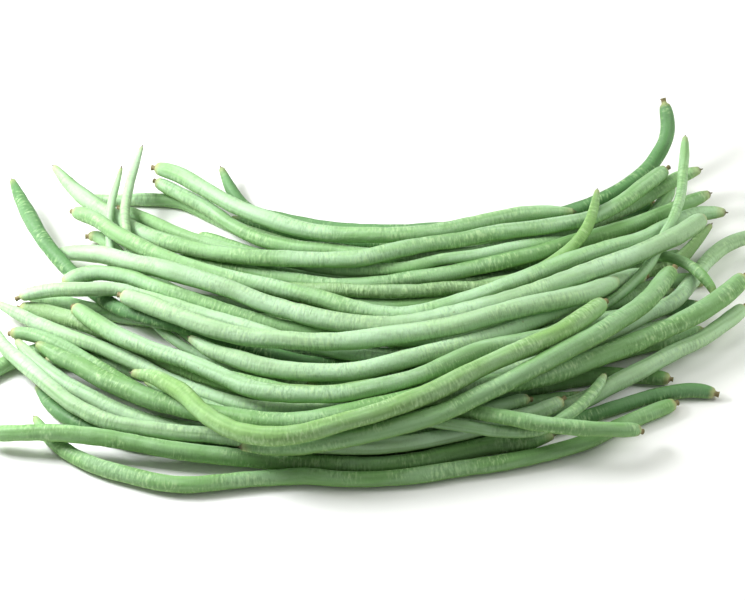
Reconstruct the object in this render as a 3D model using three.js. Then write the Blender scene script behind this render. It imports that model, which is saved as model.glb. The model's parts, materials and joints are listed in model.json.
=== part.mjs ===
// A heap of fresh yardlong beans lying loose on a table, every pod a separate closed solid.
// Millimetres, +Z up. The pods run mostly along X; +Y is the side where the stalks fan out.
// The origin is the middle of the heap's bounding box, on the table.
import * as THREE from 'three';

// How a pod is made, from its stalk end to its beak.
const SIDES = 8;                    // flat sides round a pod, one of them facing down
const STALK_RADIUS = 1.5;
const STALK_LENGTH = 3;
const COLLAR_LENGTH = 2;            // from the stalk stub to the pod's blunt end
const SHOULDER_LENGTH = 15;         // over which the stalk end swells to the full girth
const SHOULDER_SHARE = 0.7;         // girth of the blunt end, as a share of the full girth
const BEAK_LENGTH = 32;             // over which most pods narrow to their far end
const BLUNT_BEAK = 15;              // the same, for pods that end bluntly
const BEAK_SHARE = 0.32;            // girth of the far end, as a share of the full girth
const BEAK_SECTIONS = [0.47, 0.18, 0];  // their places, as shares of the beak from its point
const RING_SPACING = 21;            // between sections on the even stretch

// How the heap settles.
const GAP = 0.32;                   // kept between neighbouring skins
const SETTLE_STEPS = 300;
const FINISH_STEPS = 150;           // the last steps only push pods apart
const SINK_PER_STEP = 0.06;
const HOLD_TO_ROUTE = 0.04;         // how firmly a pod keeps the line on which it was laid
const STIFFNESS = 0.45;             // how firmly it keeps the bend it grew with

// Flesh tones.
const PALE = 0xcfe3bd;
const MINT = 0xb9d6a8;
const LEAF = 0x93b578;
const DEEP = 0x7c9f66;
const STRAW = 0xb7cf8a;
const OLIVE = 0x9fb676;

// Every pod as it was laid: name, girth, tone, points on its middle line from stalk to beak,
// and the length of its beak where that isn't the usual one.
const PODS = [
  // lowest pods, hardly seen, which the rest of the heap lies on
  ['hidden_left_pod', 9.2, MINT,
    [[-209, -65, 5], [-190, -49, 5], [-163, -38, 5], [-125, -40, 5], [-80, -55, 5],
      [-30, -66, 5], [20, -66, 5], [70, -52, 5], [115, -34, 5], [150, -16, 5]]],
  ['shaded_left_pod', 8.3, DEEP,
    [[184, -75, 5], [169, -72, 5], [145, -77, 5], [122, -85, 5], [100, -95, 5], [66, -102, 5],
      [10, -112, 5], [-50, -114, 5], [-104, -111, 5], [-131, -108, 5], [-153, -97, 5],
      [-169, -84, 5], [-179, -66, 5]]],
  ['inner_low_pod', 8, LEAF,
    [[-194, -36, 8], [-174, -42, 8], [-140, -64, 6], [-100, -88, 5], [-50, -99, 5], [0, -98, 5],
      [60, -90, 5], [112, -74, 5]]],
  ['stub_front_pod', 8.6, LEAF,
    [[160, -64, 8], [147, -62, 7], [122, -60, 6], [88, -68, 5], [45, -78, 5], [0, -84, 5],
      [-50, -85, 5], [-92, -74, 5]]],
  ['stub_left_pod', 8.6, MINT,
    [[-187, -2, 11], [-170, -6, 9], [-140, -16, 7], [-100, -26, 5], [-50, -40, 5], [0, -48, 5],
      [50, -40, 5], [100, -20, 5]]],
  ['stub_right_pod', 8.6, LEAF,
    [[182, 10, 12], [173, 11, 11], [150, 4, 8], [110, -8, 6], [60, -22, 5], [10, -30, 5],
      [-40, -24, 5], [-90, -10, 5]]],
  ['hooked_stalk_pod', 7.1, MINT,
    [[-157, 43, 10], [-149, 42, 10], [-140, 31, 8], [-122, 14, 6], [-95, -1, 5], [-50, -9, 5],
      [0, -14, 5], [50, -6, 5], [90, 8, 5]]],
  ['third_rear_pod', 8.1, LEAF,
    [[-92, 22, 5], [-50, 8, 5], [0, 2, 5], [50, 10, 5], [90, 24, 6], [123, 36, 9], [145, 40, 12],
      [159, 44, 14]], BLUNT_BEAK],
  ['rear_tip_pod', 7.9, LEAF,
    [[-96, 46, 5], [-50, 26, 5], [0, 16, 5], [40, 22, 5], [68, 32, 7], [84, 42, 10],
      [92, 51, 11]], BLUNT_BEAK],
  ['rear_low_pod', 7.9, MINT,
    [[164, 84, 14], [156, 66, 12], [146, 52, 9], [132, 44, 7], [104, 36, 5], [60, 30, 5],
      [0, 30, 5], [-50, 44, 5], [-88, 65, 6], [-104, 74, 6], [-122, 76, 6], [-139, 75, 6],
      [-156, 77, 6]]],
  ['left_inner_pod', 8.4, MINT,
    [[-176, -50, 7], [-142, -52, 5], [-104, -66, 5], [-60, -76, 5], [-20, -78, 5], [30, -74, 5],
      [84, -58, 5]]],
  ['rear_inner_pod', 8, MINT,
    [[-148, 54, 6], [-120, 50, 5], [-85, 34, 5], [-45, 20, 5], [0, 12, 5], [45, 14, 5],
      [92, 28, 5]]],
  ['right_inner_pod', 8.2, LEAF,
    [[172, 30, 9], [144, 18, 6], [104, 6, 5], [60, -6, 5], [10, -14, 5], [-42, -10, 5]]],
  ['right_low_pod', 8.4, LEAF,
    [[180, -30, 8], [152, -38, 6], [112, -52, 5], [60, -66, 5], [14, -74, 5], [-36, -74, 5]]],
  ['rear_floor_pod', 8, DEEP,
    [[154, 72, 5], [132, 60, 5], [104, 48, 5], [60, 40, 5], [10, 37, 5], [-40, 44, 5],
      [-80, 56, 5]]],
  // the rear slope
  ['back_arch_pod', 8.3, DEEP,
    [[160, 123, 38], [162, 112, 29], [160, 102, 22], [149, 89, 15], [133, 76, 11], [107, 63, 8],
      [69, 54, 5], [26, 48, 5], [-17, 48, 5], [-55, 58, 5], [-70, 66, 6], [-77, 77, 9],
      [-83, 92, 14]]],
  ['rear_pair_lower_pod', 8.3, MINT,
    [[-120, 82, 11], [-109, 75, 10], [-93, 64, 9], [-71, 45, 8], [-55, 35, 8], [-23, 29, 8],
      [12, 23, 8], [58, 25, 8], [102, 37, 9], [124, 46, 11], [150, 63, 13], [171, 80, 15],
      [182, 84, 18]], BLUNT_BEAK],
  ['rear_pair_upper_pod', 9.4, MINT,
    [[-121, 83, 15], [-106, 76, 14], [-87, 60, 13], [-66, 45, 13], [-33, 31, 13], [-12, 27, 14],
      [15, 26, 14], [48, 33, 13], [80, 43, 13], [111, 47, 14]]],
  ['left_slope_pod', 7.1, MINT,
    [[-140, 60, 9], [-109, 41, 9], [-89, 30, 10], [-69, 22, 10], [-47, 16, 10], [-15, 10, 9],
      [15, 9, 11], [37, 14, 12], [58, 19, 12], [80, 26, 12], [98, 32, 11], [112, 36, 10]], BLUNT_BEAK],
  ['right_bridge_pod', 6.4, LEAF,
    [[-20, 14, 8], [30, 10, 8], [80, 18, 9], [120, 24, 12], [153, 20, 17], [165, 9, 19],
      [178, -5, 18], [183, -15, 15]], BLUNT_BEAK],
  ['long_rear_pod', 9.2, MINT,
    [[162, 80, 20], [145, 64, 18], [123, 46, 16], [102, 37, 16], [69, 28, 16], [37, 19, 15],
      [15, 12, 15], [-12, 6, 14], [-44, 7, 14], [-77, 13, 14], [-104, 23, 13], [-125, 36, 12],
      [-150, 59, 11], [-163, 73, 11], [-176, 91, 13]]],
  ['rear_slope_pod', 8.6, LEAF,
    [[-112, 26, 8], [-79, 12, 14], [-50, 2, 16], [-17, -3, 16], [15, 2, 16], [48, 9, 15],
      [69, 16, 14], [91, 23, 14], [112, 32, 14], [134, 41, 14], [155, 51, 15], [173, 63, 15],
      [187, 70, 17]], BLUNT_BEAK],
  ['right_olive_pod', 7.5, OLIVE,
    [[-92, 10, 10], [-50, -4, 12], [-4, -12, 14], [26, -12, 14], [48, -8, 13], [100, -4, 12],
      [140, 4, 12], [167, 19, 13], [175, 32, 13], [183, 47, 14]]],
  ['thin_left_spike', 5.1, PALE,
    [[-80, -54, 6], [-112, -35, 7], [-132, -12, 8], [-141, 8, 8], [-144, 25, 9], [-145, 36, 12],
      [-144, 48, 18], [-142, 57, 20], [-137, 79, 24]]],
  ['tall_left_spike', 5.6, PALE,
    [[-70, -58, 6], [-100, -36, 6], [-119, -10, 7], [-128, 14, 8], [-132, 32, 11],
      [-133, 44, 17], [-132, 60, 20], [-129, 82, 23], [-126, 97, 26]]],
  ['spiked_rear_pod', 6.7, STRAW,
    [[-102, 18, 9], [-62, 5, 11], [-30, -3, 14], [-6, -6, 16], [26, -6, 17], [56, -4, 17],
      [77, 0, 17], [98, 9, 20], [112, 22, 25], [119, 40, 27], [122, 58, 27]]],
  ['right_spike', 5.8, MINT,
    [[10, -52, 12], [60, -46, 12], [108, -28, 13], [135, -8, 15], [151, 12, 18], [159, 31, 21],
      [166, 50, 23], [170, 74, 27], [172, 100, 32]], BLUNT_BEAK],
  // the middle layers
  ['dark_left_pod', 8.6, DEEP,
    [[178, -10, 12], [161, -7, 11], [145, -9, 10], [110, -23, 9], [60, -45, 8], [0, -55, 8],
      [-50, -51, 8], [-98, -33, 9], [-114, -28, 10], [-135, -17, 11], [-155, 3, 13],
      [-174, 26, 18], [-190, 58, 20], [-199, 82, 20]]],
  ['middle_left_pod', 8.1, PALE,
    [[-193, -14, 14], [-179, -14, 16], [-158, -16, 18], [-138, -16, 17], [-98, -24, 13],
      [-50, -40, 13], [0, -56, 12], [60, -54, 12], [110, -44, 12], [137, -34, 14],
      [156, -27, 16], [175, -25, 18]]],
  ['lower_left_pod', 9.6, PALE,
    [[199, -16, 17], [185, -31, 15], [169, -46, 14], [153, -58, 14], [137, -71, 14],
      [120, -83, 14], [102, -94, 13], [60, -102, 11], [10, -108, 11], [-40, -108, 11],
      [-84, -103, 12], [-114, -96, 11], [-136, -86, 10], [-158, -72, 10], [-177, -56, 9],
      [-190, -41, 8]]],
  ['front_left_pod', 9.4, PALE,
    [[102, -87, 17], [88, -92, 16], [72, -96, 15], [56, -99, 13], [20, -114, 11],
      [-30, -118, 11], [-74, -115, 11], [-104, -111, 10], [-125, -108, 9], [-143, -102, 9],
      [-159, -91, 9], [-171, -78, 9], [-184, -62, 9], [-195, -48, 9], [-201, -33, 9]]],
  ['olive_pod', 9.2, OLIVE,
    [[-190, -14, 10], [-177, -19, 11], [-158, -29, 13], [-136, -43, 14], [-114, -60, 15],
      [-93, -74, 16], [-71, -86, 16], [-50, -92, 16], [-28, -95, 16], [-6, -93, 16],
      [15, -87, 16], [38, -78, 16], [70, -64, 15], [106, -50, 14]]],
  ['outer_left_pod', 8.6, PALE,
    [[210, 38, 17], [190, 30, 16], [176, 15, 16], [163, -10, 18], [127, -42, 21], [91, -69, 22],
      [69, -82, 21], [48, -92, 20], [26, -98, 20], [-20, -106, 18], [-60, -102, 18],
      [-100, -86, 17], [-120, -72, 16], [-141, -58, 14], [-163, -44, 12], [-185, -27, 11],
      [-201, -12, 11]]],
  ['thick_right_pod', 11.1, LEAF,
    [[200, -7, 24], [189, -19, 23], [174, -33, 23], [158, -44, 23], [142, -55, 23],
      [126, -65, 23], [110, -75, 22], [93, -86, 21], [60, -97, 19], [26, -106, 19],
      [-8, -112, 18], [-50, -110, 15], [-93, -95, 14], [-125, -82, 13], [-147, -69, 12],
      [-168, -58, 12], [-182, -49, 12]]],
  ['low_slim_pod', 7.7, MINT,
    [[84, -88, 13], [40, -104, 15], [0, -112, 18], [-25, -113, 20], [-44, -110, 20],
      [-66, -104, 20], [-87, -93, 20], [-104, -84, 19], [-121, -73, 19]]],
  ['second_row_pod', 9.5, MINT,
    [[-159, -26, 16], [-144, -41, 18], [-128, -54, 20], [-109, -65, 21], [-87, -76, 22],
      [-66, -93, 23], [-44, -102, 23], [-12, -106, 23], [10, -103, 23], [31, -94, 22],
      [53, -76, 21], [72, -67, 21], [95, -55, 18], [118, -42, 17], [140, -30, 16]]],
  ['curved_middle_pod', 8.8, MINT,
    [[-167, -7, 19], [-152, -1, 20], [-136, -2, 21], [-120, -9, 21], [-104, -15, 20],
      [-82, -24, 19], [-60, -33, 19], [-39, -39, 18], [-17, -43, 18], [30, -46, 17],
      [80, -28, 16], [127, -6, 16], [145, 1, 16], [162, 4, 15]]],
  ['upper_rear_pod', 9, MINT,
    [[-164, 55, 15], [-150, 46, 16], [-136, 32, 17], [-104, 10, 18], [-60, -5, 19],
      [-17, -19, 19], [4, -27, 19], [26, -27, 19], [69, -11, 19], [112, 9, 19], [153, 28, 18],
      [172, 45, 18], [188, 50, 19], [195, 50, 20]], BLUNT_BEAK],
  ['third_row_pod', 10.1, PALE,
    [[150, 5, 18], [130, -9, 20], [112, -23, 22], [91, -37, 24], [69, -49, 25], [37, -61, 26],
      [15, -67, 26], [-1, -73, 26], [-23, -74, 25], [-55, -68, 24], [-74, -60, 24],
      [-87, -51, 23], [-97, -41, 23]]],
  // the top of the heap and its front edge
  ['crest_pod', 10.5, PALE,
    [[180, 38, 27], [166, 22, 26], [145, 6, 25], [112, -11, 26], [80, -24, 27], [48, -34, 27],
      [15, -42, 27], [-17, -40, 27], [-50, -30, 26], [-82, -16, 25], [-114, -4, 23],
      [-136, 8, 19], [-155, 20, 15], [-178, 28, 12]]],
  ['broad_middle_pod', 10.5, PALE,
    [[-134, -16, 24], [-114, -28, 26], [-93, -42, 28], [-71, -51, 28], [-50, -56, 29],
      [-17, -58, 29], [15, -55, 29], [48, -49, 29], [80, -38, 29], [102, -29, 28],
      [123, -15, 26], [131, -6, 25]], BLUNT_BEAK],
  ['front_floor_pod', 9, LEAF,
    [[162, -78, 4], [134, -94, 4], [112, -107, 4], [85, -117, 4], [53, -122, 4],
      [21, -127, 4], [-12, -130, 4], [-44, -130, 4], [-66, -133, 4], [-98, -139, 4],
      [-125, -134, 4], [-150, -123, 4], [-168, -108, 5], [-179, -90, 8]]],
  ['second_floor_pod', 9.6, LEAF,
    [[-207, -109, 5], [-179, -113, 5], [-158, -114, 5], [-125, -118, 5], [-104, -120, 5],
      [-66, -120, 5], [-12, -118, 5], [15, -115, 5], [39, -109, 6], [61, -105, 7], [80, -106, 7],
      [97, -104, 8]]],
  ['front_right_pod', 8.6, LEAF,
    [[143, -107, 9], [129, -113, 11], [110, -117, 13], [88, -116, 14], [72, -112, 15],
      [58, -106, 16], [35, -94, 15], [0, -84, 13], [-45, -78, 12], [-90, -64, 11]]],
  ['small_front_pod', 6.6, MINT,
    [[-28, -101, 12], [24, -107, 13], [64, -109, 13], [88, -108, 15], [99, -105, 18],
      [109, -97, 20], [118, -85, 20], [125, -71, 19]], BLUNT_BEAK],
  ['front_arch_pod', 10.5, LEAF,
    [[163, -2, 32], [154, -18, 33], [144, -34, 33], [129, -49, 33], [112, -63, 33],
      [96, -75, 32], [72, -92, 31], [48, -106, 29], [23, -116, 27], [7, -120, 26],
      [-12, -123, 24], [-25, -124, 22], [-50, -125, 20], [-72, -123, 19]]],
  ['yellow_top_pod', 10.7, STRAW,
    [[125, -34, 36], [110, -53, 38], [93, -67, 38], [77, -78, 37], [61, -87, 36], [37, -102, 34],
      [12, -114, 33], [-12, -123, 32], [-39, -130, 30], [-60, -131, 29], [-81, -120, 28],
      [-95, -103, 28], [-112, -86, 27], [-128, -79, 26]]],
];

// Distances from the stalk end at which a pod of this length has its sections.
function stationsAlong(length, beakLength) {
  const stations = [0, STALK_LENGTH, STALK_LENGTH + COLLAR_LENGTH, SHOULDER_LENGTH];
  const even = length - SHOULDER_LENGTH - beakLength;
  const steps = Math.max(1, Math.round(even / RING_SPACING));
  for (let step = 1; step <= steps; step++) {
    stations.push(SHOULDER_LENGTH + (even * step) / steps);
  }
  for (const share of BEAK_SECTIONS) stations.push(length - share * beakLength);
  return stations;
}

// Radius of the pod at a distance from its stalk end.
function radiusAt(distance, length, girth, beakLength) {
  const full = girth / 2;
  if (distance <= STALK_LENGTH) return STALK_RADIUS;
  const toShoulder = (SHOULDER_LENGTH - distance) / (SHOULDER_LENGTH - STALK_LENGTH);
  if (toShoulder > 0) return full * (1 - (1 - SHOULDER_SHARE) * toShoulder ** 2);
  const toBeak = 1 - (length - distance) / beakLength;
  if (toBeak > 0) return full * (1 - (1 - BEAK_SHARE) * toBeak ** 2);
  return full;
}

// The pod as laid: section centres, radii, and the spacing and bend that it keeps.
function layPod([name, girth, tone, route, beakLength = BEAK_LENGTH]) {
  const curve = new THREE.CatmullRomCurve3(route.map((point) => new THREE.Vector3(...point)));
  curve.arcLengthDivisions = 400;
  const length = curve.getLength();
  const stations = stationsAlong(length, beakLength);
  const centres = stations.map((distance) => curve.getPointAt(distance / length));
  const radii = stations.map((distance) => radiusAt(distance, length, girth, beakLength));
  const pod = { name, tone, length, stations, centres, radii };
  pod.laid = centres.map((centre) => centre.clone());
  pod.bends = centres.map((centre, i) => bendAt(pod, i));
  return pod;
}

// How far a section centre lies off the straight line between its two neighbours.
function bendAt({ stations, centres }, i) {
  if (i === 0 || i === centres.length - 1) return new THREE.Vector3();
  const share = (stations[i] - stations[i - 1]) / (stations[i + 1] - stations[i - 1]);
  return centres[i - 1].clone().lerp(centres[i + 1], share).sub(centres[i]);
}

// Lets a pod sink a little as a whole, and holds it near its route.
function sink({ centres, laid }) {
  const sunk = centres.reduce((sum, centre, i) => sum + centre.z - laid[i].z, 0) / centres.length;
  centres.forEach((centre, i) => {
    const home = laid[i].clone();
    home.z += sunk;
    centre.lerp(home, HOLD_TO_ROUTE);
    centre.z -= SINK_PER_STEP;
  });
}

// Gives a pod back its own spacing and bend.
function keepShape(pod) {
  const { centres, stations, bends } = pod;
  for (let i = 1; i < centres.length - 1; i++) {
    const off = bendAt(pod, i).sub(bends[i]).multiplyScalar(STIFFNESS);
    centres[i].addScaledVector(off, 0.5);
    centres[i - 1].addScaledVector(off, -0.25);
    centres[i + 1].addScaledVector(off, -0.25);
  }
  for (let i = 1; i < centres.length; i++) {
    const along = centres[i].clone().sub(centres[i - 1]);
    const excess = (along.length() - (stations[i] - stations[i - 1])) / 2;
    along.setLength(excess);
    centres[i - 1].add(along);
    centres[i].sub(along);
  }
}

// Shares along two stretches, a to b and c to d, at which they come closest to each other.
function closestShares(a, b, c, d) {
  const first = b.clone().sub(a);
  const second = d.clone().sub(c);
  const between = a.clone().sub(c);
  const [e, f, g] = [first.dot(first), second.dot(second), first.dot(second)];
  const [h, k] = [first.dot(between), second.dot(between)];
  const spread = e * f - g * g;
  let s = spread > 1e-9 ? THREE.MathUtils.clamp((g * k - f * h) / spread, 0, 1) : 0.5;
  const t = THREE.MathUtils.clamp((g * s + k) / f, 0, 1);
  s = THREE.MathUtils.clamp((g * t - h) / e, 0, 1);
  return [s, t];
}

// Pushes stretch i of one pod and stretch j of another apart where their skins come too close.
function pushApart(one, i, other, j) {
  const [a, b, c, d] = [one.centres[i], one.centres[i + 1], other.centres[j], other.centres[j + 1]];
  const [s, t] = closestShares(a, b, c, d);
  const away = a.clone().lerp(b, s).sub(c.clone().lerp(d, t));
  const reach = THREE.MathUtils.lerp(one.radii[i], one.radii[i + 1], s)
    + THREE.MathUtils.lerp(other.radii[j], other.radii[j + 1], t) + GAP;
  const short = reach - away.length();
  if (short <= 0) return;
  const weight = (1 - s) ** 2 + s ** 2 + (1 - t) ** 2 + t ** 2;
  away.setLength(short / weight);
  a.addScaledVector(away, 1 - s);
  b.addScaledVector(away, s);
  c.addScaledVector(away, t - 1);
  d.addScaledVector(away, -t);
}

// Calls for each two stretches of different pods that could touch.
function nearbyStretches(pods, margin) {
  const stretches = pods.flatMap((pod) => pod.centres.slice(1).map((centre, i) => ({
    pod, i, middle: centre.clone().add(pod.centres[i]).multiplyScalar(0.5),
    half: (pod.stations[i + 1] - pod.stations[i]) / 2 + pod.radii[i],
  })));
  const pairs = [];
  stretches.forEach((one, n) => {
    for (const other of stretches.slice(n + 1)) {
      if (one.pod === other.pod) continue;
      if (one.middle.distanceTo(other.middle) < one.half + other.half + margin) {
        pairs.push([one.pod, one.i, other.pod, other.i]);
      }
    }
  });
  return pairs;
}

// Keeps a pod's flat underside on or above the table.
function keepAboveTable(pod) {
  const toFlat = Math.cos(Math.PI / SIDES);
  pod.centres.forEach((centre, i) => {
    centre.z = Math.max(centre.z, pod.radii[i] * toFlat);
  });
}

// Settles the heap: the pods sink onto the table and each other, then are left just clear.
function settle(pods) {
  let pairs = [];
  for (let step = 0; step < SETTLE_STEPS + FINISH_STEPS; step++) {
    if (step % 20 === 0) pairs = nearbyStretches(pods, 6);
    if (step < SETTLE_STEPS) pods.forEach(sink);
    pods.forEach(keepShape);
    pods.forEach(keepAboveTable);
    pairs.forEach((pair) => pushApart(...pair));
    if (step > SETTLE_STEPS) pairs.forEach((pair) => pushApart(...pair));
  }
  for (let step = 0; step < FINISH_STEPS; step++) {
    pods.forEach(keepAboveTable);
    pairs.forEach((pair) => pushApart(...pair));
  }
  pods.forEach(keepAboveTable);
}

// Turns a pod's skin about its middle line, then bends the line along the section centres.
function podSolid({ centres, stations, radii, length }, middle) {
  const profile = radii.map((radius, i) => new THREE.Vector2(radius, stations[i]));
  profile.unshift(new THREE.Vector2(0, 0));
  profile.push(new THREE.Vector2(0, length));
  const solid = new THREE.LatheGeometry(profile, SIDES, Math.PI / SIDES);
  const position = solid.getAttribute('position');
  const up = new THREE.Vector3();
  const side = new THREE.Vector3();
  for (let v = 0; v < position.count; v++) {
    const row = v % profile.length;
    const i = THREE.MathUtils.clamp(row - 1, 0, centres.length - 1);
    const before = centres[Math.max(i - 1, 0)];
    const along = centres[Math.min(i + 1, centres.length - 1)].clone().sub(before).normalize();
    side.set(along.y, -along.x, 0).normalize();
    up.crossVectors(side, along);
    const point = centres[i].clone().sub(middle)
      .addScaledVector(side, position.getX(v))
      .addScaledVector(up, position.getZ(v));
    position.setXYZ(v, ...point);
  }
  solid.computeVertexNormals();
  return solid;
}

function podMesh(pod) {
  const middle = pod.centres[Math.floor(pod.centres.length / 2)].clone();
  const material = new THREE.MeshStandardMaterial({ color: pod.tone, roughness: 0.5, metalness: 0 });
  const mesh = new THREE.Mesh(podSolid(pod, middle), material);
  mesh.name = pod.name;
  mesh.position.copy(middle);
  return mesh;
}

// Moves the heap so that the middle of its underside is the origin.
function centreOnTable(heap) {
  const box = new THREE.Box3().setFromObject(heap, true);
  const middle = box.getCenter(new THREE.Vector3());
  heap.position.set(-middle.x, -middle.y, 0);
}

const pods = PODS.map(layPod);
settle(pods);
const heap = new THREE.Group();
pods.forEach((pod) => heap.add(podMesh(pod)));
centreOnTable(heap);

export default heap;
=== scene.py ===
"""A loose heap of fresh yardlong beans: every pod of the frame is grown again in fine detail."""
import json
import math

import bmesh
import bpy
import numpy as np
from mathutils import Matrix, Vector


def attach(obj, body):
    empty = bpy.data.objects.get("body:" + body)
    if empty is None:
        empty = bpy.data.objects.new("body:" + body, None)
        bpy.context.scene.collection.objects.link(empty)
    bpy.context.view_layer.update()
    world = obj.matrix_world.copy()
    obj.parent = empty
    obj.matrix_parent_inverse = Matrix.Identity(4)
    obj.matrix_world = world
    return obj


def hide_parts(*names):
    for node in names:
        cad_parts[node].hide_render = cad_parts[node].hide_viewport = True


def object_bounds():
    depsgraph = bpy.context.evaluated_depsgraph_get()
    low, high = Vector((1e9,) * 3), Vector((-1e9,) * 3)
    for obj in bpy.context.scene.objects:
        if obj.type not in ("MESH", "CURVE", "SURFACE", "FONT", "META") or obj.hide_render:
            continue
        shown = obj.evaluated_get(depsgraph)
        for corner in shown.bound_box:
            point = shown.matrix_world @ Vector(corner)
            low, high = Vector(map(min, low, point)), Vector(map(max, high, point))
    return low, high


bl_info = {
    "name": "Yardlong Bean Heap",
    "version": (1, 0, 0),
    "blender": (4, 5, 0),
    "location": "3D View > Sidebar > Beans",
    "description": "Grows the pods of a heap of yardlong beans and sets up their stage",
    "category": "Object",
}

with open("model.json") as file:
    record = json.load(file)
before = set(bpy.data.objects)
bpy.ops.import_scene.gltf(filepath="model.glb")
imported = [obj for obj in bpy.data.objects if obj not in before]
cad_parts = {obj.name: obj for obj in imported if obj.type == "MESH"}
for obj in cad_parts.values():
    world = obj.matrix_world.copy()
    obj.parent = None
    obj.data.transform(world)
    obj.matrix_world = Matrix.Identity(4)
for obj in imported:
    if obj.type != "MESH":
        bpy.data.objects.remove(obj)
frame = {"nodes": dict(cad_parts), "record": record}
CAD_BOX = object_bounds()
MM = 0.001

POD_SLOTS = {part["node"]: part["material_slot"] for part in frame["record"]["subparts"]}
POD_NAMES = sorted(POD_SLOTS)
FRAME_SIDES = 8          # flat sides round a pod of the frame
STUB_RATIO = 1.2         # the first two rings differ by less than this only at a stalk stub
FIRST_SEED = 100         # random seed of the first pod by name; the others count on from it

# Lengths over which a pod's form changes once, at random.
SEED_WANDER_STEP = 45 * MM
SEED_STRENGTH_STEP = 60 * MM
SLOW_GIRTH_STEP = 21 * MM
QUICK_GIRTH_STEP = 6 * MM
SEAM_TWIST_STEP = 90 * MM
SIDEWAYS_STEP = 19 * MM
UPWARDS_STEP = 25 * MM

# Where a change of form sets in: distances from the stalk end, then from the beak's point.
SWELLING_FADES = ((6 * MM, 26 * MM), (8 * MM, 30 * MM))
SEAM_FADES = ((4 * MM, 10 * MM), (3 * MM, 9 * MM))
MEANDER_FADES = ((8 * MM, 30 * MM), (8 * MM, 30 * MM))

# The body.
GIRTH_LIMITS = (0.86, 1.015)    # least and most radius, as shares of the frame's
MOST_REACH = 1.02        # no point lies further out than this share of the frame's radius
OVAL = 0.022             # how far a section departs from round, as a share of the radius
SEAM_TWIST = 0.8         # how far the seams turn round the pod, in radians
SEAM_WIDTH = 0.17        # half width of the front seam, in radians
BACK_SEAM_WIDTH = 0.14
BACK_SEAM_SHARE = 0.7    # depth of the back seam as a share of the front one's

# The ends.
BEAK_ROUNDING = 1.8 * MM    # length over which the body closes round the dry point
POINT_ROUNDING = 0.6 * MM   # length over which the dry point closes
BEFORE_RIM, PAST_RIM = 0.7 * MM, 1.2 * MM   # the body's rim, on each side of the nub's end
FLARE, FLARE_LENGTH = 0.2, 0.7 * MM         # widening of the nub at its cut

# The skin's patterns.
PATTERN_SHIFT = 0.7      # from the patterns of one pod to those of the next, in metres
# Cells per metre of each pattern: twice across a pod, then along it.
STREAKS = (300, 300, 16)
PATCHES = (60, 60, 30)
FOLDS = (230, 230, 760)
FINE_FOLDS = (420, 420, 1500)
PORES = (2400, 2400, 2400)
WAX = (75, 75, 20)
FOLDED_PARTS = (110, 110, 45)
SCARS = (330, 330, 240)

# The stage.
FLOOR_REACH = 6.0        # from the middle of the floor to its sides
FLOOR_DROP = 0.05 * MM   # from the heap's underside to the floor
VIEW_DEPTH = 50.0


def colour_property(name, description, default):
    return bpy.props.FloatVectorProperty(
        name=name, description=description, default=default, subtype="COLOR",
        min=0.0, max=1.0)


def length_property(name, description, default):
    return bpy.props.FloatProperty(
        name=name, description=description, default=default, unit="LENGTH",
        subtype="DISTANCE", precision=5)


def share_property(name, description, default):
    return bpy.props.FloatProperty(
        name=name, description=description, default=default, subtype="FACTOR",
        min=0.0, max=1.0)


class PodShape(bpy.types.PropertyGroup):
    """Sizes of a pod's fine form."""

    sides: bpy.props.IntProperty(
        name="Sides", description="Points round a pod", default=28, min=8, max=64)
    ring_spacing: length_property(
        "Ring spacing", "Distance between rings on the even stretch", 1.5 * MM)
    end_spacing: length_property(
        "End spacing", "Distance between rings near the stalk and the beak", 0.4 * MM)
    end_length: length_property(
        "End length", "Length of each end that has the closer rings", 14 * MM)
    nub_length: length_property("Nub length", "Length of the stalk stub", 2.6 * MM)
    nub_radius: length_property("Nub radius", "Radius of the stalk stub", 1.25 * MM)
    blunt_share: share_property(
        "Blunt share", "Radius of the stalk end as a share of the full radius", 0.6)
    blunt_length: length_property(
        "Blunt length", "Length over which the stalk end rounds off", 3.2 * MM)
    tip_length: length_property("Tip length", "Length of the dry point", 1.3 * MM)
    tip_radius: length_property("Tip radius", "Radius of the dry point", 0.4 * MM)
    seed_pitch: length_property("Seed pitch", "Distance between two seeds", 12 * MM)
    fullness: share_property(
        "Fullness", "Mean radius of the body as a share of the frame's", 0.965)
    seed_swelling: share_property(
        "Seed swelling", "Height of a seed's swelling as a share of the radius", 0.045)
    undulation: share_property(
        "Undulation", "Slow change of girth as a share of the radius", 0.06)
    ripple: share_property(
        "Ripple", "Quick change of girth as a share of the radius", 0.018)
    suture_depth: share_property(
        "Suture depth", "Depth of the two seams as a share of the radius", 0.06)
    meander: length_property("Meander", "How far the middle line wanders", 0.6 * MM)


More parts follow.
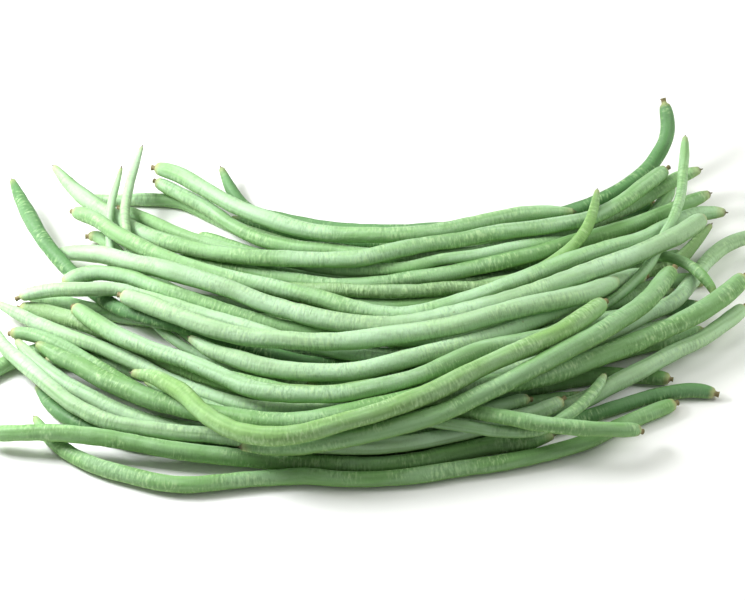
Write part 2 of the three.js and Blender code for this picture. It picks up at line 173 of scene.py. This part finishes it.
class PodColours(bpy.types.PropertyGroup):
    """Colours that all pods share."""

    # The pale skin is partly the pods' own tone and partly painted light: the palest pods lie on
    # the brightly lit left side and along the crest.
    pale: colour_property("Pale skin", "Skin of the palest pods", (0.38, 0.58, 0.32))
    mint: colour_property("Mint skin", "Skin of the mint green pods", (0.28, 0.495, 0.215))
    leaf: colour_property("Leaf skin", "Skin of the leaf green pods", (0.20, 0.40, 0.135))
    deep: colour_property("Deep skin", "Skin of the darkest pods", (0.12, 0.28, 0.10))
    straw: colour_property("Straw skin", "Skin of the ripest pods", (0.26, 0.47, 0.15))
    olive: colour_property("Olive skin", "Skin of the wrinkled pods", (0.26, 0.43, 0.17))
    # Pale waxy bloom that is also painted highlight: laid on most where the pods face up.
    bloom_and_highlight: colour_property("Bloom", "Waxy bloom on the skin", (0.45, 0.66, 0.43))
    fleck: colour_property("Fleck", "Pale cross streaks", (0.50, 0.70, 0.36))
    seam: colour_property("Seam", "Along the two seams", (0.12, 0.27, 0.07))
    # Painted shade: the darker warm green laid on the undersides of the pods.
    under: colour_property("Underside", "Warm green of the undersides", (0.18, 0.34, 0.06))
    cut: colour_property("Cut", "Dried end of the stalk stub", (0.17, 0.11, 0.05))
    calyx: colour_property("Calyx", "Pale rim round the stalk stub", (0.42, 0.42, 0.19))
    tip: colour_property("Tip", "Dried point of the beak", (0.11, 0.075, 0.05))
    scar: colour_property("Scar", "Small rubbed marks", (0.22, 0.21, 0.08))


class StageSettings(bpy.types.PropertyGroup):
    """Floor, light and camera."""

    floor: colour_property("Floor", "Colour of the floor", (0.9, 0.9, 0.9))
    sky_strength: bpy.props.FloatProperty(
        name="Sky strength", description="Strength of the even light", default=0.25, min=0.0)
    key_power: bpy.props.FloatProperty(
        name="Key power", description="Power of the lamp at the left", default=6.8,
        unit="POWER")
    fill_power: bpy.props.FloatProperty(
        name="Fill power", description="Power of the lamp at the right", default=1.1,
        unit="POWER")
    top_power: bpy.props.FloatProperty(
        name="Top power", description="Power of the wide lamp overhead", default=8.2,
        unit="POWER")
    distance: length_property("Camera distance", "From the heap to the camera", 3.0)
    width: length_property("Field width", "Width of the view at the heap", 0.4023)
    elevation: bpy.props.FloatProperty(
        name="Elevation", description="Height of the camera above the horizon",
        default=math.radians(45), subtype="ANGLE")
    aim: bpy.props.FloatVectorProperty(
        name="Aim", description="Point that the camera looks at", default=(-0.0005, 0.0102, 0.0),
        subtype="XYZ", unit="LENGTH")


# ---------------------------------------------------------------- reading the frame

def ring_after(ring, seen):
    """The next ring of a pod's skin, past the vertices already seen."""
    found = {edge.other_vert(vert) for vert in ring for edge in vert.link_edges}
    return found - seen


def sections_of(node):
    """Middle points and radii of a frame pod's rings, from stalk to beak."""
    skin = bmesh.new()
    skin.from_mesh(frame["nodes"][node].data)
    bmesh.ops.remove_doubles(skin, verts=skin.verts, dist=0.002 * MM)
    skin.verts.index_update()
    pole = next(vert for vert in skin.verts if len(vert.link_edges) == FRAME_SIDES)
    seen = {pole}
    ring = ring_after({pole}, seen)
    middles, radii = [], []
    while len(ring) == FRAME_SIDES:
        corners = sorted(ring, key=lambda vert: vert.index)
        middle = sum((vert.co for vert in corners), Vector()) / FRAME_SIDES
        middles.append(middle)
        radii.append(sum((vert.co - middle).length for vert in corners) / FRAME_SIDES)
        seen |= ring
        ring = ring_after(ring, seen)
    skin.free()
    if radii[1] > STUB_RATIO * radii[0]:
        middles.reverse()
        radii.reverse()
    return np.array(middles), np.array(radii)


class MiddleLine:
    """A smooth curve through the sections of a frame pod, measured from its stalk end."""

    def __init__(self, middles):
        steps = np.linalg.norm(np.diff(middles, axis=0), axis=1)
        self.stations = np.concatenate([[0.0], np.cumsum(steps)])
        self.length = self.stations[-1]
        self.middles = middles
        self.slopes = np.gradient(middles, self.stations, axis=0)

    def points(self, along):
        """Points of the curve at these distances."""
        last = len(self.stations) - 2
        i = np.clip(np.searchsorted(self.stations, along, side="right") - 1, 0, last)
        gap = (self.stations[i + 1] - self.stations[i])[:, None]
        t = (along - self.stations[i])[:, None] / gap
        start = self.middles[i] * (1 + 2 * t) * (1 - t) ** 2
        end = self.middles[i + 1] * (3 - 2 * t) * t ** 2
        leave = self.slopes[i] * gap * t * (1 - t) ** 2
        arrive = self.slopes[i + 1] * gap * (t - 1) * t ** 2
        return start + end + leave + arrive


# ---------------------------------------------------------------- a pod's fine form

def eased(value, low, high):
    """0 below low, 1 above high, and a smooth rise between."""
    t = np.clip((value - low) / (high - low), 0, 1)
    return t * t * (3 - 2 * t)


def off_ends(along, left, fades):
    """0 at both ends of a pod and 1 between them."""
    from_stalk, from_beak = fades
    return eased(along, *from_stalk) * eased(left, *from_beak)


def drift(random, along, step):
    """Smooth random values between -1 and 1 that change about once every step."""
    knots = random.uniform(-1, 1, int(along[-1] / step) + 3)
    place = along / step
    low = place.astype(int)
    t = place - low
    t = t * t * (3 - 2 * t)
    return knots[low] * (1 - t) + knots[low + 1] * t


def ring_places(length, shape):
    """Distances of the rings from the stalk end, closer together at both ends."""
    near, far = shape.end_length, length - shape.end_length
    ends = int(near / shape.end_spacing)
    body = int((far - near) / shape.ring_spacing)
    first = np.linspace(0, near, ends, endpoint=False)
    middle = np.linspace(near, far, body, endpoint=False)
    return np.concatenate([first, middle, np.linspace(far, length, ends)])


def swelling(along, left, shape, random):
    """Radius of the body as a share of the frame's: seeds, slow and quick changes."""
    pitch = shape.seed_pitch * random.uniform(0.9, 1.15)
    wander = 0.35 * drift(random, along, SEED_WANDER_STEP)
    seeds = np.sin(np.pi * (along / pitch + wander)) ** 2 - 0.5
    strength = 0.55 + 0.45 * drift(random, along, SEED_STRENGTH_STEP)
    changes = shape.seed_swelling * seeds * strength
    changes += shape.undulation * drift(random, along, SLOW_GIRTH_STEP)
    changes += shape.ripple * drift(random, along, QUICK_GIRTH_STEP)
    changes = changes * off_ends(along, left, SWELLING_FADES)
    return np.clip(shape.fullness + changes, *GIRTH_LIMITS)


def body_radius(along, line, radii, shape, random):
    """Radius of each ring, without the seams."""
    left = line.length - along
    full = radii.max() * swelling(along, left, shape, random)
    narrowing = np.interp(along, line.stations, radii) / radii.max()
    beak = np.where(along > line.length / 2, narrowing, 1.0)
    rounding = np.clip((left - shape.tip_length) / BEAK_ROUNDING, 0, 1)
    beak = beak * np.sqrt(rounding * (2 - rounding))
    nub = shape.nub_radius * random.uniform(0.85, 1.15)
    nub_end = shape.nub_length * random.uniform(0.6, 1.15)
    past_nub = np.maximum(along - nub_end, 0)
    blunt = 1 - (1 - shape.blunt_share) * np.exp(-past_nub / shape.blunt_length)
    rim = eased(along, nub_end - BEFORE_RIM, nub_end + PAST_RIM)
    flare = 1 + FLARE * np.exp(-((along / FLARE_LENGTH) ** 2))
    radius = nub * flare * (1 - rim) + full * blunt * beak * rim
    point = shape.tip_radius * np.sqrt(np.clip(left / POINT_ROUNDING, 0, 1))
    return np.maximum(radius, point)


def seam_profile(turn):
    """How deep each place round the pod lies in one of the two seams, from 0 to 1."""
    front = np.angle(np.exp(1j * turn))
    back = np.angle(np.exp(1j * (turn - np.pi)))
    front_seam = np.exp(-((front / SEAM_WIDTH) ** 2))
    return front_seam + BACK_SEAM_SHARE * np.exp(-((back / BACK_SEAM_WIDTH) ** 2))


def straight_rod(sides, rings):
    """A closed straight rod along Z, one unit long and of unit radius, with even rings."""
    rod = bmesh.new()
    bmesh.ops.create_cone(
        rod, cap_ends=True, cap_tris=True, segments=sides, radius1=1.0, radius2=1.0, depth=1.0)
    lengthwise = [e for e in rod.edges if abs(e.verts[0].co.z - e.verts[1].co.z) > 0.5]
    bmesh.ops.subdivide_edges(rod, edges=lengthwise, cuts=rings - 2, use_grid_fill=True)
    return rod


def add_vectors(mesh, name, values):
    layer = mesh.attributes.new(name, "FLOAT_VECTOR", "POINT")
    layer.data.foreach_set("vector", np.ascontiguousarray(values, np.float32).ravel())


def grow_pod(node, shape):
    """The fine mesh of one pod, bent along the frame pod's middle line."""
    number = POD_NAMES.index(node)
    random = np.random.default_rng(FIRST_SEED + number)
    middles, radii = sections_of(node)
    line = MiddleLine(middles)
    along = ring_places(line.length, shape)
    left = line.length - along
    rod = straight_rod(shape.sides, len(along))
    mesh = bpy.data.meshes.new(node)
    rod.to_mesh(mesh)
    rod.free()

    points = np.empty(len(mesh.vertices) * 3)
    mesh.vertices.foreach_get("co", points)
    points = points.reshape(-1, 3)
    ring = np.rint((points[:, 2] + 0.5) * (len(along) - 1)).astype(int)
    rim = (np.hypot(points[:, 0], points[:, 1]) > 0.5).astype(float)
    turn = np.arctan2(points[:, 1], points[:, 0])

    radius = body_radius(along, line, radii, shape, random)
    seam_at = random.uniform(0, 2 * np.pi) + SEAM_TWIST * drift(random, along, SEAM_TWIST_STEP)
    from_seam = turn - seam_at[ring]
    seam = seam_profile(from_seam)
    seamed = off_ends(along, left, SEAM_FADES)[ring]
    oval = 1 + OVAL * np.cos(2 * from_seam) * seamed
    reach = radius[ring] * (oval - shape.suture_depth * seam * seamed) * rim
    reach = np.minimum(reach, MOST_REACH * radii.max())

    centres = line.points(along)
    ahead = np.gradient(centres, along, axis=0)
    ahead /= np.linalg.norm(ahead, axis=1)[:, None]
    side = np.cross((0.0, 0.0, 1.0), ahead)
    side /= np.linalg.norm(side, axis=1)[:, None]
    up = np.cross(ahead, side)
    sideways = drift(random, along, SIDEWAYS_STEP)[:, None] * shape.meander
    upwards = drift(random, along, UPWARDS_STEP)[:, None] * shape.meander / 3
    wander = side * sideways + up * upwards
    centres += wander * off_ends(along, left, MEANDER_FADES)[:, None]
    placed = centres[ring] + reach[:, None] * (
        np.cos(turn)[:, None] * side[ring] + np.sin(turn)[:, None] * up[ring])
    placed = np.clip(placed, *CAD_BOX)
    mesh.vertices.foreach_set("co", placed.ravel())
    mesh.polygons.foreach_set("use_smooth", np.ones(len(mesh.polygons), bool))

    stretch = along[ring] + PATTERN_SHIFT * number
    add_vectors(mesh, "straight", np.stack(
        [reach * np.cos(from_seam), reach * np.sin(from_seam), stretch], axis=1))
    add_vectors(mesh, "span", np.stack(
        [along[ring], left[ring], seam * rim * seamed], axis=1))
    # A share of painted underside shade for each pod, and a random darkening of its tone; upward
    # is how far each point faces up, which sets the painted shade and highlight.
    underside_shade_share, depth = random.uniform(0, 1, 2)
    upward = np.sin(turn) * up[ring, 2]
    add_vectors(mesh, "temper", np.stack(
        [np.full(len(points), underside_shade_share), np.full(len(points), depth), upward], axis=1))
    mesh.update()
    return mesh


# ---------------------------------------------------------------- materials

class Skin:
    """A pod's skin material, put together step by step."""

    def __init__(self, name):
        self.material = bpy.data.materials.new(name)
        self.material.use_nodes = True
        self.tree = self.material.node_tree
        self.shader = self.tree.nodes["Principled BSDF"]

    def node(self, kind, **settings):
        made = self.tree.nodes.new(kind)
        for key, value in settings.items():
            setattr(made, key, value)
        return made

    def join(self, source, target):
        self.tree.links.new(source, target)

    def attribute(self, name):
        return self.node("ShaderNodeAttribute", attribute_name=name).outputs["Vector"]

    def split(self, vector):
        parts = self.node("ShaderNodeSeparateXYZ")
        self.join(vector, parts.inputs[0])
        return parts.outputs

    def stretched_noise(self, vector, scale, detail=2.0, roughness=0.5):
        """Noise whose cells are stretched by a scale for each direction."""
        scaled = self.node("ShaderNodeVectorMath", operation="MULTIPLY")
        self.join(vector, scaled.inputs[0])
        scaled.inputs[1].default_value = scale
        noise = self.node("ShaderNodeTexNoise")
        noise.inputs["Scale"].default_value = 1.0
        noise.inputs["Detail"].default_value = detail
        noise.inputs["Roughness"].default_value = roughness
        self.join(scaled.outputs[0], noise.inputs["Vector"])
        return noise.outputs["Fac"]

    def remap(self, value, low, high, to_low=0.0, to_high=1.0):
        """A smooth rise from to_low to to_high as value goes from low to high."""
        node = self.node("ShaderNodeMapRange", interpolation_type="SMOOTHSTEP")
        self.join(value, node.inputs["Value"])
        for key, number in (("From Min", low), ("From Max", high),
                            ("To Min", to_low), ("To Max", to_high)):
            node.inputs[key].default_value = number
        return node.outputs["Result"]

    def maths(self, operation, first, second):
        node = self.node("ShaderNodeMath", operation=operation)
        for socket, value in zip(node.inputs, (first, second)):
            if isinstance(value, (int, float)):
                socket.default_value = value
            else:
                self.join(value, socket)
        return node.outputs[0]

    def mixed(self, first, second, share):
        """Colour first turned towards colour second by share."""
        node = self.node("ShaderNodeMix", data_type="RGBA")
        self.join(share, node.inputs["Factor"])
        for socket, value in ((node.inputs["A"], first), (node.inputs["B"], second)):
            if isinstance(value, bpy.types.NodeSocket):
                self.join(value, socket)
            else:
                socket.default_value = (*value, 1.0)
        return node.outputs["Result"]


def shaded(colour, factor):
    return [min(1.0, c * factor) for c in colour]


def pod_skin(slot, base, colours, bloom_and_highlight_strength, wrinkles=1.0):
    """Bean skin: cross flecks, waxy bloom with painted highlight on the tops, seams, painted
    shade on the undersides and dried ends.
    """
    skin = Skin(slot)
    base = list(base)
    straight = skin.attribute("straight")
    from_stalk, from_beak, seam = skin.split(skin.attribute("span"))
    underside_shade_share, depth, upward = skin.split(skin.attribute("temper"))

    streaks = skin.stretched_noise(straight, STREAKS, 3.0, 0.55)
    patches = skin.stretched_noise(straight, PATCHES, 3.0, 0.6)
    crossing = skin.stretched_noise(straight, FOLDS, 2.0, 0.6)
    fine_crossing = skin.stretched_noise(straight, FINE_FOLDS, 2.0, 0.6)
    pores = skin.stretched_noise(straight, PORES, 2.0, 0.6)

    colour = skin.mixed(shaded(base, 0.84), shaded(base, 1.1), skin.remap(streaks, 0.3, 0.7))
    colour = skin.mixed(colour, shaded(base, 0.7), skin.remap(depth, 0.0, 1.0, 0.0, 0.45))
    # Painted shade: the downward-facing undersides turn to the darker warm green, by a share
    # drawn for each pod.
    low = skin.remap(upward, 0.35, -0.75)
    low = skin.maths("MULTIPLY", low, skin.remap(underside_shade_share, 0.0, 1.0, 0.45, 0.85))
    colour = skin.mixed(colour, colours.under, low)
    # Waxy bloom in patches, much stronger where the skin faces up: partly real bloom, partly
    # painted highlight on the tops.
    bloom_and_highlight_mask = skin.remap(skin.stretched_noise(straight, WAX, 4.0, 0.6), 0.38, 0.66)
    bloom_and_highlight_mask = skin.maths("MULTIPLY", bloom_and_highlight_mask, skin.remap(upward, -0.5, 0.7, 0.1 * bloom_and_highlight_strength, bloom_and_highlight_strength))
    colour = skin.mixed(colour, colours.bloom_and_highlight, bloom_and_highlight_mask)

    folded = skin.remap(skin.stretched_noise(straight, FOLDED_PARTS, 2.0), 0.42, 0.6)
    pale_flecks = skin.maths("MULTIPLY", skin.remap(crossing, 0.5, 0.66), folded)
    colour = skin.mixed(colour, colours.fleck, skin.maths("MULTIPLY", pale_flecks, 0.5))
    dark_flecks = skin.maths("MULTIPLY", skin.remap(crossing, 0.5, 0.36), folded)
    colour = skin.mixed(colour, shaded(base, 0.5), skin.maths("MULTIPLY", dark_flecks, 0.38))
    specks = skin.remap(fine_crossing, 0.6, 0.74, 0.0, 0.3)
    colour = skin.mixed(colour, shaded(base, 0.5), specks)
    colour = skin.mixed(colour, colours.seam, skin.maths("MULTIPLY", seam, 0.45))
    scars = skin.remap(skin.stretched_noise(straight, SCARS, 2.0), 0.75, 0.81)
    colour = skin.mixed(colour, colours.scar, skin.maths("MULTIPLY", scars, 0.5))

    ragged = skin.maths("MULTIPLY", skin.maths("SUBTRACT", streaks, 0.5), 4 * MM)
    stalk_way = skin.maths("ADD", from_stalk, ragged)
    beak_way = skin.maths("ADD", from_beak, ragged)
    colour = skin.mixed(colour, colours.calyx, skin.remap(stalk_way, 3 * MM, 6 * MM, 0.75, 0.0))
    colour = skin.mixed(colour, colours.cut, skin.remap(stalk_way, 1.4 * MM, 3 * MM, 0.8, 0.0))
    colour = skin.mixed(colour, colours.calyx, skin.remap(beak_way, 2 * MM, 9 * MM, 0.5, 0.0))
    colour = skin.mixed(colour, colours.tip, skin.remap(beak_way, 1.2 * MM, 3.2 * MM, 0.9, 0.0))
    skin.join(colour, skin.shader.inputs["Base Color"])

    skin.join(skin.remap(patches, 0.3, 0.7, 0.45, 0.62), skin.shader.inputs["Roughness"])
    skin.shader.inputs["Specular IOR Level"].default_value = 0.35
    skin.shader.inputs["Subsurface Weight"].default_value = 0.1
    skin.shader.inputs["Subsurface Radius"].default_value = (0.5, 1.0, 0.3)
    skin.shader.inputs["Subsurface Scale"].default_value = 1.2 * MM

    folds = skin.maths("MULTIPLY", crossing, skin.remap(patches, 0.3, 0.7, 0.4, 1.5))
    folds = skin.maths("ADD", folds, skin.maths("MULTIPLY", fine_crossing, 0.4))
    folds = skin.maths("ADD", folds, skin.maths("MULTIPLY", streaks, 0.6))
    folds = skin.maths("ADD", folds, skin.maths("MULTIPLY", pores, 0.1))
    bump = skin.node("ShaderNodeBump")
    bump.inputs["Strength"].default_value = min(1.0, 0.7 * wrinkles)
    bump.inputs["Distance"].default_value = 0.5 * MM * wrinkles
    skin.join(folds, bump.inputs["Height"])
    skin.join(bump.outputs["Normal"], skin.shader.inputs["Normal"])
    return skin.material


# ---------------------------------------------------------------- operators

def lay_pods(slot, base, settings, bloom_and_highlight_strength, wrinkles=1.0):
    """Grows every pod of one tone, in one shared skin."""
    skin = pod_skin(slot, base, settings.bean_colours, bloom_and_highlight_strength, wrinkles)
    for node in POD_NAMES:
        if POD_SLOTS[node] != slot:
            continue
        mesh = grow_pod(node, settings.bean_shape)
        mesh.materials.append(skin)
        pod = bpy.data.objects.new(node.removesuffix("_pod") + "_bean", mesh)
        bpy.context.scene.collection.objects.link(pod)
        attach(pod, "root")
        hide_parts(node)


class BEANS_OT_pale_pods(bpy.types.Operator):
    """Grows the palest pods, which lie at the left and along the crest; their paleness is partly
    painted light
    """

    bl_idname = "beans.pale_pods"
    bl_label = "Pale Pods"

    def execute(self, context):
        colours = context.scene.bean_colours
        lay_pods("pod_skin_pale", colours.pale, context.scene, bloom_and_highlight_strength=0.85)
        return {"FINISHED"}


class BEANS_OT_mint_pods(bpy.types.Operator):
    """Grows the mint green pods"""

    bl_idname = "beans.mint_pods"
    bl_label = "Mint Pods"

    def execute(self, context):
        colours = context.scene.bean_colours
        lay_pods("pod_skin_mint", colours.mint, context.scene, bloom_and_highlight_strength=0.75)
        return {"FINISHED"}


class BEANS_OT_leaf_pods(bpy.types.Operator):
    """Grows the leaf green pods"""

    bl_idname = "beans.leaf_pods"
    bl_label = "Leaf Green Pods"

    def execute(self, context):
        colours = context.scene.bean_colours
        lay_pods("pod_skin_leaf", colours.leaf, context.scene, bloom_and_highlight_strength=0.4)
        return {"FINISHED"}


class BEANS_OT_deep_pods(bpy.types.Operator):
    """Grows the deep green pods"""

    bl_idname = "beans.deep_pods"
    bl_label = "Deep Green Pods"

    def execute(self, context):
        colours = context.scene.bean_colours
        lay_pods("pod_skin_deep", colours.deep, context.scene, bloom_and_highlight_strength=0.12)
        return {"FINISHED"}


class BEANS_OT_straw_pods(bpy.types.Operator):
    """Grows the ripest, yellow-green pods"""

    bl_idname = "beans.straw_pods"
    bl_label = "Straw Pods"

    def execute(self, context):
        colours = context.scene.bean_colours
        lay_pods("pod_skin_straw", colours.straw, context.scene, bloom_and_highlight_strength=0.45)
        return {"FINISHED"}


class BEANS_OT_olive_pods(bpy.types.Operator):
    """Grows the olive pods, whose skin has begun to wrinkle"""

    bl_idname = "beans.olive_pods"
    bl_label = "Olive Pods"

    def execute(self, context):
        colours = context.scene.bean_colours
        lay_pods("pod_skin_olive", colours.olive, context.scene, bloom_and_highlight_strength=0.4, wrinkles=1.4)
        return {"FINISHED"}


def add_lamp(name, place, size, power, colour):
    """A square soft lamp that points at the middle of the heap."""
    data = bpy.data.lights.new(name, "AREA")
    data.shape = "SQUARE"
    data.size = size
    data.energy = power
    data.color = colour
    lamp = bpy.data.objects.new(name, data)
    lamp.location = place
    lamp.rotation_euler = (-Vector(place)).to_track_quat("-Z", "Y").to_euler()
    bpy.context.scene.collection.objects.link(lamp)


def lay_floor(colour):
    """A wide plain floor just under the heap."""
    slab = bmesh.new()
    bmesh.ops.create_grid(slab, x_segments=1, y_segments=1, size=FLOOR_REACH)
    bmesh.ops.translate(slab, verts=slab.verts, vec=(0.0, 0.0, -FLOOR_DROP))
    mesh = bpy.data.meshes.new("floor")
    slab.to_mesh(mesh)
    slab.free()
    paper = bpy.data.materials.new("floor_paper")
    paper.use_nodes = True
    shader = paper.node_tree.nodes["Principled BSDF"]
    shader.inputs["Base Color"].default_value = (*colour, 1.0)
    shader.inputs["Roughness"].default_value = 0.9
    shader.inputs["Specular IOR Level"].default_value = 0.1
    mesh.materials.append(paper)
    floor = bpy.data.objects.new("floor", mesh)
    bpy.context.scene.collection.objects.link(floor)


def place_camera(stage):
    """The camera looks down on the heap from the front."""
    data = bpy.data.cameras.new("camera")
    data.sensor_width = 36.0
    data.lens = data.sensor_width * stage.distance / stage.width
    data.clip_end = VIEW_DEPTH
    camera = bpy.data.objects.new("camera", data)
    aim = Vector(stage.aim)
    back = Vector((0.0, -math.cos(stage.elevation), math.sin(stage.elevation)))
    camera.location = aim + back * stage.distance
    camera.rotation_euler = (-back).to_track_quat("-Z", "Y").to_euler()
    bpy.context.scene.collection.objects.link(camera)
    bpy.context.scene.camera = camera


class BEANS_OT_stage(bpy.types.Operator):
    """Sets up the floor, the soft light and the camera"""

    bl_idname = "beans.stage"
    bl_label = "Stage"

    def execute(self, context):
        stage = context.scene.bean_stage
        lay_floor(stage.floor)
        add_lamp("key_lamp", place=(-0.54, 0.08, 0.44), size=0.25,
                 power=stage.key_power, colour=(0.98, 0.98, 1.0))
        add_lamp("fill_lamp", place=(0.5, 0.0, 0.28), size=0.25,
                 power=stage.fill_power, colour=(0.98, 1.0, 0.93))
        add_lamp("top_lamp", place=(-0.3, 0.45, 1.1), size=1.2,
                 power=stage.top_power, colour=(0.97, 1.0, 0.92))
        world = bpy.data.worlds.new("soft_sky")
        world.use_nodes = True
        sky = world.node_tree.nodes["Background"]
        sky.inputs["Color"].default_value = (1.0, 1.0, 0.97, 1.0)
        sky.inputs["Strength"].default_value = stage.sky_strength
        context.scene.world = world
        context.scene.view_settings.view_transform = "Standard"
        place_camera(stage)
        return {"FINISHED"}


class BEANS_PT_panel(bpy.types.Panel):
    """Lists the steps that build the heap"""

    bl_idname = "BEANS_PT_panel"
    bl_label = "Yardlong Beans"
    bl_space_type = "VIEW_3D"
    bl_region_type = "UI"
    bl_category = "Beans"

    def draw(self, context):
        for operator in OPERATORS:
            self.layout.operator(operator.bl_idname)


OPERATORS = (
    BEANS_OT_pale_pods,
    BEANS_OT_mint_pods,
    BEANS_OT_leaf_pods,
    BEANS_OT_deep_pods,
    BEANS_OT_straw_pods,
    BEANS_OT_olive_pods,
    BEANS_OT_stage,
)
GROUPS = {"bean_shape": PodShape, "bean_colours": PodColours, "bean_stage": StageSettings}
CLASSES = (*GROUPS.values(), *OPERATORS, BEANS_PT_panel)


def register():
    for cls in CLASSES:
        bpy.utils.register_class(cls)
    for name, group in GROUPS.items():
        setattr(bpy.types.Scene, name, bpy.props.PointerProperty(type=group))


def unregister():
    for name in GROUPS:
        delattr(bpy.types.Scene, name)
    for cls in reversed(CLASSES):
        bpy.utils.unregister_class(cls)


def main():
    register()
    bpy.ops.beans.pale_pods()
    bpy.ops.beans.mint_pods()
    bpy.ops.beans.leaf_pods()
    bpy.ops.beans.deep_pods()
    bpy.ops.beans.straw_pods()
    bpy.ops.beans.olive_pods()
    bpy.ops.beans.stage()


if __name__ == "__main__":
    main()
